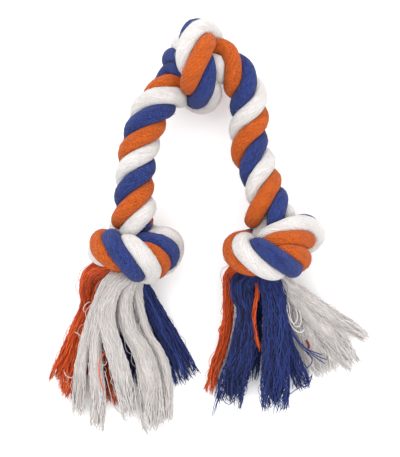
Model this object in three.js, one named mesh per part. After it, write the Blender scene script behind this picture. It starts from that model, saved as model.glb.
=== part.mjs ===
// Rope dog toy: one length of three-strand laid cotton rope with an overhand knot at its crown and one above
// each end, where the strands fray into locks of yarn. It lies on a flat surface, seen from above as in use.
// Millimetres, +Z up. Each strand is one unbroken tube from tassel to tassel, and each lock is a piece.
import * as THREE from "three";

// The rope
const ropeDiameter = 25;
const layRadius = 0.268 * ropeDiameter; // from the rope's axis to a strand's axis
const freeStrandRadius = 0.252 * ropeDiameter; // a strand's radius in the legs
const knotStrandRadius = 0.288 * ropeDiameter; // and in a knot, where the squeeze spreads it
const freeContact = 0.224 * ropeDiameter; // the least reach that a strand keeps to its neighbour, in the legs
const knotContact = 0.18 * ropeDiameter; // and in a knot
const squeezeLength = 0.6 * ropeDiameter; // the run over which a strand passes from one to the other
const sameStrandRun = 0.68 * ropeDiameter; // a strand's places nearer than this along it never press
const mouthLead = 0.44 * ropeDiameter; // the last of the rope, where its strands part before they fray
const pieceGap = 0.6; // kept between pieces that touch
const mouthFlareShare = 0.25; // how much wider apart the strands lie where the rope ends

// How finely the pieces are drawn
const settleStep = 3;
const pressStep = 2.4; // spacing of the places at which pieces press on each other
const strandRingStep = 4.8; // spacing of a strand's rings of points, a whole number of such places
const lockRingStep = 9.6;
const lockRootRings = [0, 2]; // and a lock's root, where it turns away from its strand, has closer ones
const strandSides = 7;
const lockSides = 8;
const tightenRounds = 4;
const settleRounds = 60;
const settleShare = 0.5; // how much of an overlap each round takes away
const smoothShare = 0.35; // how far each round evens a strand's shift with its neighbours'

// Half of an overhand knot's path from its middle out to a mouth, in shares of the rope's diameter. The other
// half is the same, turned half a turn about the y axis.
const knotPathShares = [
  [0, 0.91, 0],
  [-0.75, 0.81, -0.4],
  [-1.2, 0.26, -0.8],
  [-1.05, -0.49, -0.95],
  [-0.4, -0.94, -0.85],
  [0.25, -0.84, -0.45],
  [0.5, -0.34, 0.1],
  [0.2, 0.01, 0.75],
  [0.15, 0.01, 1.5],
];

// The knots: where each one's middle lies, in shares of the rope's diameter as all places here are, its turns
// about its own axis, about the picture's level and in the picture's plane, how tightly it is pulled, and how
// far some points of its path, counted from its upper mouth, lie from where an even knot would have them
const leftKnot = {
  centreShares: [-2.22, -0.74, 1.29],
  spin: 2.13,
  tilt: -0.46,
  turn: -0.44,
  tightShare: 0.645,
  squashShare: 0.87,
  shiftShares: {
    0: [-0.22, 0, 0],
    2: [-0.04, 0.04, 0],
    3: [-0.13, 0.13, 0],
    4: [-0.06, 0.08, 0],
    11: [-0.1, 0, 0],
    12: [-0.1, 0, 0],
  },
};
const crownKnot = {
  centreShares: [-0.44, 4.44, 1.29],
  spin: 0.85,
  tilt: -0.34,
  turn: 1.96,
  tightShare: 0.64,
  squashShare: 0.76,
  shiftShares: {
    9: [-0.03, 0.14, 0],
    10: [0, 0.11, 0],
    12: [-0.1, -0.05, 0],
    13: [-0.1, -0.06, 0],
  },
};
const rightKnot = {
  centreShares: [1.66, -0.6, 1.44],
  spin: 2.05,
  tilt: -0.21,
  turn: -0.09,
  tightShare: 0.785,
  squashShare: 0.68,
  shiftShares: {
    2: [-0.08, 0.08, 0],
    3: [-0.17, 0.14, 0],
    4: [-0.08, 0.08, 0],
    13: [0, 0.08, 0.04],
    14: [0, 0.14, 0.08],
  },
};

// The legs' routes, from the left knot up to the crown and down to the right knot
const leftLegShares = [
  [-2.26, -0.05, 1.68],
  [-2.16, 1.76, 1.64],
  [-1.76, 3.16, 1.56],
  [-1.4, 3.64, 1.44],
];
const rightLegShares = [
  [0.92, 3.76, 1.4],
  [1, 2.28, 1.4],
  [1.24, 1.68, 1.44],
  [1.64, 0.2, 1.7],
];

// Where the rope ends below the lower knots
const leftEndShares = [-2.44, -1.33, 1.44];
const rightEndShares = [1.42, -1.42, 1.56];

// The lay: how many turns the strands make about the rope in each stretch, from the left end to the right,
// and how far into its knot, or back from the rope's right end, each later stretch of a knot begins
const firstTurn = 0.48;
const turnsAlong = {
  leftMouth: 0.92,
  leftUpper: 1.06,
  leftFront: 1.199,
  leftBack: 0.759,
  leftLeg: 2.952,
  crownFront: 1.867,
  crownBack: 0.928,
  crownOut: 0.468,
  rightLeg: 2.827,
  rightIn: 0.973,
  rightFront: 2.751,
  rightMouth: 0.47,
};
const leftUpperRun = 1.96 * ropeDiameter;
const leftFrontRun = 4.2 * ropeDiameter;
const leftBackRun = 6.4 * ropeDiameter;
const crownBackRun = 4.4 * ropeDiameter;
const crownOutRun = 5.8 * ropeDiameter;
const rightFrontRun = 1.4 * ropeDiameter;
const rightMouthRun = 1.96 * ropeDiameter;

const strandNames = ["orange", "white", "blue"];
const strandPhaseShares = { orange: 0, white: 1 / 3, blue: 2 / 3 };

// Locks of yarn at the ends: how each one leaves its strand, and then its places, each with its width and
// thickness there, all in shares of the rope's diameter
const forkGap = 0.9; // between a strand's cut end and its locks
const lockFork = 0.16 * ropeDiameter; // a lock runs on with its strand this far before it turns away
const lockStartHeight = 0.32 * ropeDiameter;
const lockStartSpan = 0.42 * ropeDiameter;
const leftLocks = [
  {
    strand: "orange",
    routeShares: [
      [-3.45, -1.28, 1.08, 0.37, 0.44],
      [-3.62, -1.7, 0.76, 0.37, 0.4],
      [-3.62, -2.24, 0.48, 0.34, 0.32],
      [-3.9, -2.94, 0.32, 0.37, 0.28],
      [-4.21, -3.68, 0.24, 0.42, 0.24],
      [-4.52, -4.35, 0.18, 0.39, 0.2],
    ],
  },
  {
    strand: "orange",
    routeShares: [
      [-3.28, -1.73, 0.76, 0.39, 0.4],
      [-3.42, -2.24, 0.52, 0.39, 0.36],
      [-3.59, -2.97, 0.32, 0.48, 0.28],
      [-3.87, -3.93, 0.22, 0.62, 0.24],
      [-4.1, -4.77, 0.18, 0.68, 0.2],
    ],
  },
  {
    strand: "orange",
    routeShares: [
      [-2.92, -1.96, 0.52, 0.31, 0.28],
      [-3.03, -2.41, 0.32, 0.37, 0.2],
      [-3.08, -3.06, 0.2, 0.42, 0.2],
      [-3, -3.9, 0.16, 0.45, 0.16],
      [-2.86, -4.92, 0.14, 0.39, 0.16],
    ],
  },
  {
    strand: "white",
    routeShares: [
      [-3.2, -2.01, 1.36, 0.31, 0.36],
      [-3.42, -2.69, 0.96, 0.34, 0.32],
      [-3.59, -3.37, 0.68, 0.37, 0.28],
      [-3.73, -4.18, 0.44, 0.42, 0.28],
      [-3.79, -4.89, 0.32, 0.45, 0.28],
      [-3.79, -5.39, 0.24, 0.39, 0.24],
    ],
  },
  {
    strand: "white",
    routeShares: [
      [-3, -2.13, 1.44, 0.37, 0.4],
      [-3.23, -2.77, 1, 0.39, 0.36],
      [-3.34, -3.48, 0.72, 0.45, 0.36],
      [-3.34, -4.18, 0.52, 0.54, 0.36],
      [-3.31, -5, 0.36, 0.51, 0.32],
      [-3.31, -5.79, 0.24, 0.42, 0.24],
    ],
  },
  {
    strand: "white",
    routeShares: [
      [-2.8, -2.15, 1.64, 0.51, 0.44],
      [-2.97, -2.58, 1.36, 0.54, 0.48],
      [-2.89, -3.2, 1.08, 0.56, 0.44],
      [-2.69, -3.9, 0.84, 0.56, 0.4],
      [-2.52, -4.66, 0.56, 0.54, 0.36],
      [-2.38, -5.42, 0.32, 0.42, 0.28],
    ],
  },
  {
    strand: "white",
    routeShares: [
      [-2.49, -2.21, 1.32, 0.48, 0.4],
      [-2.38, -2.77, 1.12, 0.56, 0.4],
      [-2.15, -3.37, 0.92, 0.68, 0.4],
      [-1.93, -4.1, 0.68, 0.76, 0.4],
      [-1.76, -4.89, 0.44, 0.76, 0.36],
      [-1.73, -5.73, 0.28, 0.7, 0.24],
    ],
  },
  {
    strand: "white",
    routeShares: [
      [-2.04, -2.13, 1.16, 0.34, 0.32],
      [-1.93, -2.61, 1, 0.31, 0.32],
      [-1.73, -3.11, 0.8, 0.28, 0.32],
      [-1.48, -3.7, 0.6, 0.25, 0.32],
      [-1.31, -4.46, 0.4, 0.28, 0.28],
      [-1.25, -5.51, 0.24, 0.25, 0.24],
    ],
  },
  {
    strand: "blue",
    routeShares: [
      [-2.38, -1.99, 0.76, 0.34, 0.28],
      [-2.49, -2.77, 0.44, 0.42, 0.28],
      [-2.35, -3.48, 0.28, 0.45, 0.24],
      [-2.24, -4.44, 0.16, 0.37, 0.2],
    ],
  },
  {
    strand: "blue",
    routeShares: [
      [-2.01, -1.82, 0.92, 0.28, 0.36],
      [-1.82, -2.27, 0.64, 0.34, 0.32],
      [-1.54, -2.92, 0.4, 0.39, 0.32],
      [-1.2, -3.62, 0.28, 0.42, 0.24],
      [-0.92, -4.35, 0.2, 0.45, 0.2],
    ],
  },
  {
    strand: "blue",
    routeShares: [
      [-1.87, -1.82, 0.72, 0.25, 0.32],
      [-1.62, -2.3, 0.44, 0.31, 0.32],
      [-1.28, -2.92, 0.32, 0.37, 0.28],
      [-0.89, -3.59, 0.24, 0.39, 0.24],
      [-0.55, -4.24, 0.18, 0.39, 0.2],
    ],
  },
];
const rightLocks = [
  {
    strand: "orange",
    routeShares: [
      [0.46, -1.42, 1.08, 0.28, 0.36],
      [0.41, -1.87, 0.76, 0.25, 0.28],
      [0.41, -2.58, 0.52, 0.23, 0.24],
      [0.27, -3.34, 0.36, 0.25, 0.24],
      [0.04, -4.04, 0.24, 0.25, 0.24],
      [-0.07, -4.61, 0.18, 0.23, 0.2],
    ],
  },
  {
    strand: "orange",
    routeShares: [
      [1.11, -1.82, 1.56, 0.11, 0.12],
      [1.11, -2.21, 1.44, 0.11, 0.12],
      [1.17, -2.8, 1.16, 0.11, 0.12],
      [1.28, -3.42, 0.84, 0.11, 0.12],
    ],
  },
  {
    strand: "blue",
    routeShares: [
      [0.86, -1.96, 1.36, 0.68, 0.56],
      [0.92, -2.35, 1.16, 0.56, 0.48],
      [0.89, -2.97, 0.96, 0.65, 0.48],
      [0.75, -3.76, 0.68, 0.76, 0.44],
      [0.52, -4.46, 0.4, 0.82, 0.36],
      [0.46, -5, 0.24, 0.82, 0.24],
    ],
  },
  {
    strand: "blue",
    routeShares: [
      [1.39, -2.04, 1.04, 0.31, 0.28],
      [1.23, -2.55, 0.52, 0.48, 0.28],
      [1.14, -3.23, 0.32, 0.59, 0.24],
      [1.14, -3.99, 0.2, 0.62, 0.24],
      [1.03, -4.83, 0.16, 0.59, 0.2],
    ],
  },
  {
    strand: "blue",
    routeShares: [
      [1.59, -1.99, 1.52, 0.56, 0.52],
      [1.68, -2.46, 1.32, 0.68, 0.52],
      [1.76, -3.08, 1.08, 0.76, 0.48],
      [1.79, -3.93, 0.72, 0.79, 0.44],
      [1.76, -5.17, 0.28, 0.79, 0.28],
    ],
  },
  {
    strand: "blue",
    routeShares: [
      [1.96, -2.1, 1.16, 0.39, 0.4],
      [2.1, -2.63, 0.88, 0.42, 0.36],
      [2.3, -3.48, 0.6, 0.45, 0.32],
      [2.58, -4.55, 0.24, 0.48, 0.24],
    ],
  },
  {
    strand: "white",
    routeShares: [
      [1.99, -2.3, 0.48, 0.37, 0.32],
      [2.15, -2.75, 0.32, 0.42, 0.28],
      [2.38, -3.34, 0.24, 0.48, 0.24],
      [2.75, -4.15, 0.16, 0.48, 0.16],
    ],
  },
  {
    strand: "white",
    routeShares: [
      [2.21, -2.18, 0.68, 0.37, 0.32],
      [2.46, -2.63, 0.48, 0.42, 0.28],
      [2.8, -3.25, 0.32, 0.51, 0.28],
      [3.25, -4.15, 0.2, 0.45, 0.2],
    ],
  },
  {
    strand: "white",
    routeShares: [
      [2.41, -2.1, 0.84, 0.39, 0.32],
      [2.75, -2.46, 0.64, 0.45, 0.32],
      [3.11, -2.89, 0.48, 0.48, 0.32],
      [3.56, -3.42, 0.32, 0.45, 0.28],
      [3.99, -3.96, 0.2, 0.34, 0.2],
    ],
  },
  {
    strand: "white",
    routeShares: [
      [2.49, -1.87, 1.04, 0.34, 0.32],
      [2.86, -2.15, 0.8, 0.37, 0.32],
      [3.28, -2.44, 0.6, 0.37, 0.32],
      [3.79, -2.77, 0.36, 0.37, 0.28],
      [4.44, -3.2, 0.2, 0.28, 0.2],
    ],
  },
];

// Where the toy meets the surface it lies on, each strand is cut flat this deep
const floorCut = 1.5;

const colours = { orange: 0xd85f24, white: 0xe2ddd8, blue: 0x2f4486 };

// A place given in shares of the rope's diameter, and a run of them
const place = (shares) => new THREE.Vector3(...shares).multiplyScalar(ropeDiameter);
const places = (route) => route.map(place);

// A knot's path from its upper mouth to its lower one
function knotPath(knot) {
  const half = knotPathShares.map(([x, y, z]) => new THREE.Vector3(x, y, z));
  const otherHalf = half
    .slice(1)
    .reverse()
    .map((p) => new THREE.Vector3(-p.x, p.y, -p.z));
  const size = knot.tightShare * ropeDiameter;
  const stand = new THREE.Matrix4().makeRotationX(Math.PI / 2);
  const pose = new THREE.Matrix4()
    .makeTranslation(place(knot.centreShares))
    .multiply(new THREE.Matrix4().makeRotationZ(knot.turn))
    .multiply(new THREE.Matrix4().makeRotationX(knot.tilt))
    .multiply(stand)
    .multiply(new THREE.Matrix4().makeRotationZ(knot.spin))
    .multiply(new THREE.Matrix4().makeScale(size, size, size * knot.squashShare));
  const path = [...otherHalf, ...half].map((p) => p.applyMatrix4(pose));
  for (const [i, shift] of Object.entries(knot.shiftShares)) path[i].add(place(shift));
  return path;
}

// A smooth curve through points: its length, points evenly along it, and how far along each control lies
function smoothCurve(controls) {
  const curve = new THREE.CatmullRomCurve3(controls, false, "catmullrom");
  const divisionsEach = 24;
  curve.arcLengthDivisions = (controls.length - 1) * divisionsEach;
  const along = curve.getLengths();
  return {
    length: curve.getLength(),
    evenPoints: (step) => curve.getSpacedPoints(Math.max(2, Math.round(curve.getLength() / step))),
    controlRun: (i) => along[i * divisionsEach],
  };
}

const up = new THREE.Vector3(0, 0, 1);
const alongShare = 0.8; // a path that starts this much along x takes its first direction from y

// Directions across a path that turn no more than the path does
function transportFrames(points) {
  const tangents = points.map((p, i) => {
    const before = points[Math.max(i - 1, 0)];
    const after = points[Math.min(i + 1, points.length - 1)];
    return after.clone().sub(before).normalize();
  });
  const across = (direction, tangent) =>
    direction.clone().addScaledVector(tangent, -direction.dot(tangent)).normalize();
  const alongX = Math.abs(tangents[0].x) > alongShare;
  const start = alongX ? new THREE.Vector3(0, 1, 0) : new THREE.Vector3(1, 0, 0);
  const sides = [across(start, tangents[0])];
  for (let i = 1; i < points.length; i++) sides.push(across(sides[i - 1], tangents[i]));
  const ups = sides.map((side, i) => tangents[i].clone().cross(side));
  return { tangents, sides, ups };
}

// The rope's axis from the left tassel to the right one, and where along it the knots begin and end. In the
// lower knots the rope's end stands in for the outer mouth.
function ropeAxis() {
  const left = knotPath(leftKnot).reverse();
  const crown = knotPath(crownKnot);
  const right = knotPath(rightKnot);
  left[0].copy(place(leftEndShares));
  right.at(-1).copy(place(rightEndShares));
  const stretches = [left, places(leftLegShares), crown, places(rightLegShares), right];
  const curve = smoothCurve(stretches.flat());
  const runs = [];
  let first = 0;
  for (const stretch of stretches) {
    runs.push([curve.controlRun(first), curve.controlRun(first + stretch.length - 1)]);
    first += stretch.length;
  }
  return { curve, knotRuns: [runs[0], runs[2], runs[4]] };
}

// A value that changes evenly between places along the rope, and stays the same past the first and the last
function valueAlong(stations, values, run) {
  if (run <= stations[0]) return values[0];
  for (let i = 1; i < stations.length; i++) {
    if (run > stations[i]) continue;
    const share = (run - stations[i - 1]) / (stations[i] - stations[i - 1]);
    return values[i - 1] + share * (values[i] - values[i - 1]);
  }
  return values.at(-1);
}

// The three strands laid round the rope's axis, each a list of points with what they need to settle
function layStrands() {
  const { curve, knotRuns } = ropeAxis();
  const axis = curve.evenPoints(settleStep);
  const { sides, ups } = transportFrames(axis);
  const [leftRun, crownRun, rightRun] = knotRuns;
  const stations = [
    leftRun[0],
    leftRun[0] + leftUpperRun,
    leftRun[0] + leftFrontRun,
    leftRun[0] + leftBackRun,
    leftRun[1],
    crownRun[0],
    crownRun[0] + crownBackRun,
    crownRun[0] + crownOutRun,
    crownRun[1],
    rightRun[0],
    rightRun[0] + rightFrontRun,
    rightRun[1] - rightMouthRun,
    rightRun[1],
  ];
  const turnsAt = [firstTurn];
  for (const turns of Object.values(turnsAlong)) turnsAt.push(turnsAt.at(-1) + turns);
  const spacing = curve.length / (axis.length - 1);
  const inKnot = (run) => {
    const depths = knotRuns.map(([start, end], k) => {
      const intoStart = k === 0 ? squeezeLength : run - start;
      const intoEnd = k === knotRuns.length - 1 ? squeezeLength : end - run;
      return Math.min(intoStart, intoEnd) / squeezeLength;
    });
    return THREE.MathUtils.clamp(Math.max(...depths), 0, 1);
  };
  const flare = (run) => {
    const pastMouth = Math.max(mouthLead - run, run - curve.length + mouthLead, 0) / mouthLead;
    return layRadius * (1 + mouthFlareShare * pastMouth);
  };
  return strandNames.map((name) => {
    const points = axis.map((p, i) => {
      const angle = 2 * Math.PI * (valueAlong(stations, turnsAt, i * spacing) + strandPhaseShares[name]);
      const offset = flare(i * spacing);
      return p
        .clone()
        .addScaledVector(sides[i], offset * Math.cos(angle))
        .addScaledVector(ups[i], offset * Math.sin(angle));
    });
    const squeeze = axis.map((_, i) => inKnot(i * spacing));
    return { name, points, squeeze };
  });
}

// Strands that press on each other move apart, each shift evened out along its strand
function settle(strands) {
  const all = strands.flatMap((strand, s) => {
    let run = 0;
    return strand.points.map((p, i) => {
      if (i > 0) run += p.distanceTo(strand.points[i - 1]);
      return {
        laid: p,
        shift: new THREE.Vector3(),
        strand: s,
        run,
        reach: THREE.MathUtils.lerp(freeContact, knotContact, strand.squeeze[i]),
        first: i === 0,
        last: i === strand.points.length - 1,
      };
    });
  });
  const lowest = knotStrandRadius - floorCut;
  const apart = new THREE.Vector3();
  for (let round = 0; round < settleRounds; round++) {
    const now = all.map((p) => p.laid.clone().add(p.shift));
    const pushes = all.map(() => new THREE.Vector3());
    const touches = all.map(() => 0);
    for (let i = 0; i < all.length; i++) {
      for (let j = i + 1; j < all.length; j++) {
        const near = all[i].reach + all[j].reach;
        if (all[i].strand === all[j].strand && all[j].run - all[i].run < sameStrandRun) continue;
        apart.subVectors(now[i], now[j]);
        const distance = apart.length();
        if (distance >= near) continue;
        apart.multiplyScalar(((near - distance) * settleShare) / distance);
        pushes[i].add(apart);
        pushes[j].sub(apart);
        touches[i]++;
        touches[j]++;
      }
    }
    all.forEach((p, i) => {
      p.shift.addScaledVector(pushes[i], 1 / Math.max(touches[i], 1));
      p.shift.z = Math.max(p.shift.z, lowest - p.laid.z);
    });
    const shifts = all.map((p) => p.shift.clone());
    all.forEach((p, i) => {
      if (p.first || p.last) return;
      const even = shifts[i - 1].clone().add(shifts[i + 1]).multiplyScalar(0.5);
      p.shift.lerp(even, smoothShare);
    });
  }
  return strands.map((strand, s) => ({
    ...strand,
    points: all.filter((p) => p.strand === s).map((p) => p.laid.clone().add(p.shift)),
  }));
}

// A strand as a piece to press: round rings along its settled path
function strandPiece(strand) {
  const curve = smoothCurve(strand.points);
  const stations = strand.points.map((_, i) => curve.controlRun(i));
  const points = curve.evenPoints(pressStep);
  const frames = transportFrames(points);
  const spacing = curve.length / (points.length - 1);
  const radii = points.map((_, i) =>
    THREE.MathUtils.lerp(
      freeStrandRadius,
      knotStrandRadius,
      THREE.MathUtils.clamp(valueAlong(stations, strand.squeeze, i * spacing), 0, 1),
    ),
  );
  return {
    name: `${strand.name}_strand`,
    colour: strand.name,
    length: curve.length,
    points,
    tangents: frames.tangents,
    sides: frames.sides,
    ups: frames.ups,
    halfWidths: radii,
    halfHeights: radii,
    faces: strandSides,
    ringEvery: Math.round(strandRingStep / pressStep),
    rootRings: [0],
    run: (i) => i * spacing,
  };
}

// A lock of yarn: it leaves a strand's cut end side by side with the strand's other locks, and fans out
function lockPiece(lock, name, order, count, end, outward) {
  const level = up.clone().cross(outward).normalize();
  const startWidth = lockStartSpan / count;
  const start = end
    .clone()
    .addScaledVector(outward, forkGap)
    .addScaledVector(level, (order - (count - 1) / 2) * startWidth);
  const fork = start.clone().addScaledVector(outward, lockFork);
  const controls = [start, fork];
  const widths = [startWidth, startWidth];
  const thicknesses = [lockStartHeight, lockStartHeight];
  for (const [x, y, z, widthShare, thicknessShare] of lock.routeShares) {
    controls.push(place([x, y, z]));
    widths.push(widthShare * ropeDiameter);
    thicknesses.push(thicknessShare * ropeDiameter);
  }
  const curve = smoothCurve(controls);
  const controlRuns = controls.map((_, i) => curve.controlRun(i));
  const points = curve.evenPoints(pressStep);
  const { tangents } = transportFrames(points);
  tangents[0].copy(outward);
  const spacing = curve.length / (points.length - 1);
  const sides = tangents.map((t) => up.clone().cross(t).normalize());
  const ups = tangents.map((t, i) => t.clone().cross(sides[i]));
  const halfAlong = (sizes) => points.map((_, i) => valueAlong(controlRuns, sizes, i * spacing) / 2);
  return {
    name,
    colour: lock.strand,
    length: curve.length,
    points,
    tangents,
    sides,
    ups,
    halfWidths: halfAlong(widths),
    halfHeights: halfAlong(thicknesses),
    faces: lockSides,
    ringEvery: Math.round(lockRingStep / pressStep),
    rootRings: lockRootRings,
    run: (i) => i * spacing,
  };
}

// The locks of one end, numbered from the left within each colour
function endLocks(locks, side, strands) {
  const pieces = [];
  for (const name of strandNames) {
    const own = locks.filter((lock) => lock.strand === name);
    const strand = strands.find((s) => s.colour === name);
    const atStart = side === "left";
    const end = atStart ? strand.points[0] : strand.points.at(-1);
    const outward = atStart ? strand.tangents[0].clone().negate() : strand.tangents.at(-1).clone();
    own.forEach((lock, k) => {
      const piece = lockPiece(lock, `${side}_${name}_lock_${k + 1}`, k, own.length, end, outward);
      pieces.push({ ...piece, grownFrom: strand.name, atStart });
    });
  }
  return pieces;
}

// Whether a place on another piece is too near the same joint, or too near on the same strand, to press here
function isOwnNeighbour(piece, i, other, j) {
  if (piece === other) return Math.abs(piece.run(i) - piece.run(j)) < sameStrandRun;
  const joint = (lock, strand, at) => {
    if (lock.grownFrom !== strand.name) return false;
    const fromEnd = lock.atStart ? strand.run(at) : strand.length - strand.run(at);
    return fromEnd < sameStrandRun;
  };
  return joint(piece, other, j) || joint(other, piece, i);
}

// The walls round one place on a piece's path: planes between it and each place of a neighbour in reach
function wallsRound(piece, i, pieces) {
  const centre = piece.points[i];
  const reach = Math.max(piece.halfWidths[i], piece.halfHeights[i]);
  const size = Math.sqrt(piece.halfWidths[i] * piece.halfHeights[i]);
  const walls = [];
  for (const other of pieces) {
    other.points.forEach((q, j) => {
      const distance = q.distanceTo(centre);
      const otherReach = Math.max(other.halfWidths[j], other.halfHeights[j]);
      if (distance > reach + otherReach + pieceGap) return;
      if (isOwnNeighbour(piece, i, other, j)) return;
      const otherSize = Math.sqrt(other.halfWidths[j] * other.halfHeights[j]);
      walls.push({
        direction: q.clone().sub(centre).divideScalar(distance),
        room: (distance * size) / (size + otherSize) - pieceGap / 2,
      });
    });
  }
  return walls;
}

// How much of an offset from a place stays inside its walls
function shareInside(offset, walls) {
  let share = 1;
  for (const { direction, room } of walls) {
    const towards = offset.dot(direction);
    if (towards > 0) share = Math.min(share, room / towards);
  }
  return share;
}

// Rings of points round a piece's path, each point held back to its own side of every neighbour. The flats
// between rings are then drawn in until they stay inside the walls too.
function pressedRings(piece, pieces) {
  const walls = piece.points.map((_, i) => wallsRound(piece, i, pieces));
  const ringAt = [...piece.rootRings];
  const every = piece.ringEvery;
  for (let i = every; i < piece.points.length - every / 2; i += every) ringAt.push(i);
  ringAt[ringAt.length - 1] = piece.points.length - 1;
  const offsets = ringAt.map((i) => {
    const ring = [];
    for (let k = 0; k < piece.faces; k++) {
      const angle = (2 * Math.PI * k) / piece.faces;
      const offset = piece.sides[i]
        .clone()
        .multiplyScalar(piece.halfWidths[i] * Math.cos(angle))
        .addScaledVector(piece.ups[i], piece.halfHeights[i] * Math.sin(angle));
      ring.push(offset.multiplyScalar(shareInside(offset, walls[i])));
    }
    return ring;
  });
  const pointOf = (r, k) => piece.points[ringAt[r]].clone().add(offsets[r][k]);
  for (let round = 0; round < tightenRounds; round++) {
    for (let r = 0; r + 1 < ringAt.length; r++) {
      for (let k = 0; k < piece.faces; k++) {
        const next = (k + 1) % piece.faces;
        for (let i = ringAt[r] + 1; i < ringAt[r + 1]; i++) {
          const share = (i - ringAt[r]) / (ringAt[r + 1] - ringAt[r]);
          const onEdge = pointOf(r, k).lerp(pointOf(r + 1, k), share);
          const onFlat = pointOf(r, next).lerp(pointOf(r + 1, next), share).lerp(onEdge, 1 / 2);
          const edgeShare = shareInside(onEdge.sub(piece.points[i]), walls[i]);
          const flatShare = shareInside(onFlat.sub(piece.points[i]), walls[i]);
          const drawIn = Math.min(edgeShare, flatShare);
          if (drawIn >= 1) continue;
          const corners = flatShare < edgeShare ? [k, next] : [k];
          for (const corner of corners) {
            offsets[r][corner].multiplyScalar(drawIn);
            offsets[r + 1][corner].multiplyScalar(drawIn);
          }
        }
      }
    }
  }
  return ringAt.map((at, r) => {
    const points = offsets[r].map((_, k) => pointOf(r, k));
    for (const point of points) point.z = Math.max(point.z, 0);
    return { at, points };
  });
}

// A closed skin over a run of rings, with a flat cap at each end
function skin(rings) {
  const sides = rings[0].points.length;
  const points = rings.flatMap((ring) => ring.points);
  const faces = [];
  for (let i = 0; i + 1 < rings.length; i++) {
    for (let k = 0; k < sides; k++) {
      const a = i * sides + k;
      const b = i * sides + ((k + 1) % sides);
      faces.push(a, b, b + sides, a, b + sides, a + sides);
    }
  }
  const lastRing = (rings.length - 1) * sides;
  for (let k = 1; k + 1 < sides; k++) {
    faces.push(0, k + 1, k);
    faces.push(lastRing, lastRing + k, lastRing + k + 1);
  }
  const geometry = new THREE.BufferGeometry().setFromPoints(points);
  geometry.setIndex(faces);
  geometry.computeVertexNormals();
  return geometry;
}

// The least gap between pieces, and between far-off stretches of one strand, from ring points to flats
function leastGap(pieces) {
  const bands = pieces.flatMap((piece) =>
    piece.rings.slice(1).map((ring, r) => {
      const before = piece.rings[r];
      const around = new THREE.Sphere().setFromPoints([...before.points, ...ring.points]);
      return { piece, at: Math.round((before.at + ring.at) / 2), before, ring, around };
    }),
  );
  const flat = new THREE.Triangle();
  const nearest = new THREE.Vector3();
  let least = Infinity;
  for (const piece of pieces) {
    for (const { at, points } of piece.rings) {
      const near = bands.filter((band) => !isOwnNeighbour(piece, at, band.piece, band.at));
      for (const point of points) {
        for (const { before, ring, around } of near) {
          if (around.distanceToPoint(point) > least) continue;
          ring.points.forEach((corner, k) => {
            const next = (k + 1) % ring.points.length;
            for (const third of [before.points[next], corner]) {
              flat.set(before.points[k], third, ring.points[next]).closestPointToPoint(point, nearest);
              least = Math.min(least, nearest.distanceTo(point));
            }
          });
        }
      }
    }
  }
  return least;
}

function ropeToy() {
  const strands = settle(layStrands()).map(strandPiece);
  const locks = [...endLocks(leftLocks, "left", strands), ...endLocks(rightLocks, "right", strands)];
  const pieces = [...strands, ...locks];
  const toy = new THREE.Group();
  const box = new THREE.Box3();
  for (const piece of pieces) {
    piece.rings = pressedRings(piece, pieces);
    const geometry = skin(piece.rings);
    geometry.computeBoundingBox();
    box.union(geometry.boundingBox);
    const material = new THREE.MeshStandardMaterial({ color: colours[piece.colour], roughness: 0.95 });
    const mesh = new THREE.Mesh(geometry, material);
    mesh.name = piece.name;
    toy.add(mesh);
  }
  const middle = box.getCenter(new THREE.Vector3());
  toy.children.forEach((mesh) => mesh.position.set(-middle.x, -middle.y, 0));
  for (const { name, length } of strands) console.log(name, "is", length.toFixed(0), "mm long");
  console.log("the least gap between pieces is", leastGap(pieces).toFixed(2), "mm");
  return toy;
}

export default ropeToy();
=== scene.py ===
import math

import bmesh
import bpy
import numpy as np
from mathutils import Matrix, Vector


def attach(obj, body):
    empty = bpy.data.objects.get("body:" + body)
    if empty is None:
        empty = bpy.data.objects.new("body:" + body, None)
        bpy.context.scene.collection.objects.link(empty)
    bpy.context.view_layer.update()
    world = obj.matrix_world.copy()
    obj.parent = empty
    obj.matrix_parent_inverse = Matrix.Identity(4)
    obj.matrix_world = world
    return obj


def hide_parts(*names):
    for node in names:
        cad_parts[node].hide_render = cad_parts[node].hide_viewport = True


# A rope dog toy: three-strand laid cotton rope in an arch, knotted at its crown and above each frayed end.
# Everything is in metres, in the part's frame. Places are in shares of the rope's diameter.
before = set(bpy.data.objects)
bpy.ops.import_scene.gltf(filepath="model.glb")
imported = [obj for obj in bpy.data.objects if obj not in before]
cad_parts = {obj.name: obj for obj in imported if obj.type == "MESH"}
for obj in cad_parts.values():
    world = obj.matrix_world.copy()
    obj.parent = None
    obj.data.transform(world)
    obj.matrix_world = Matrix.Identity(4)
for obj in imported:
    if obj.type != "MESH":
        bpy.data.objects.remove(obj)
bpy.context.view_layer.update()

MM = 0.001
ROPE = 25 * MM
# From the zero that places are counted from to the frame's own, under the middle of the toy
FRAME_SHIFT = np.array([0.0022437, -0.0007982, 0.0])

# The photograph's view: straight down on the toy as it lies, with the height of floor that it shows
PHOTO_HEIGHT = 0.3218
PHOTO_MIDDLE = (-0.0073, -0.0023, 0.035)
CAMERA_HEIGHT = 3.0
SENSOR_MM = 24

# The rope: how its strands lie round its axis, how thick they are in the legs and in a knot, and how near
# to each other they come there
LAY_RADIUS = 0.268 * ROPE
FREE_RADIUS = 0.252 * ROPE
KNOT_RADIUS = 0.288 * ROPE
FREE_CONTACT = 0.224 * ROPE
KNOT_CONTACT = 0.18 * ROPE
SQUEEZE_LENGTH = 0.6 * ROPE
SAME_STRAND_RUN = 0.68 * ROPE
# The last of the rope, where its strands part before they fray, and how much wider apart they lie there
MOUTH_LEAD = 0.44 * ROPE
MOUTH_FLARE_SHARE = 0.25
# How far a strand's underside is pressed flat on the floor
FLOOR_CUT = 0.0015

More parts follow.
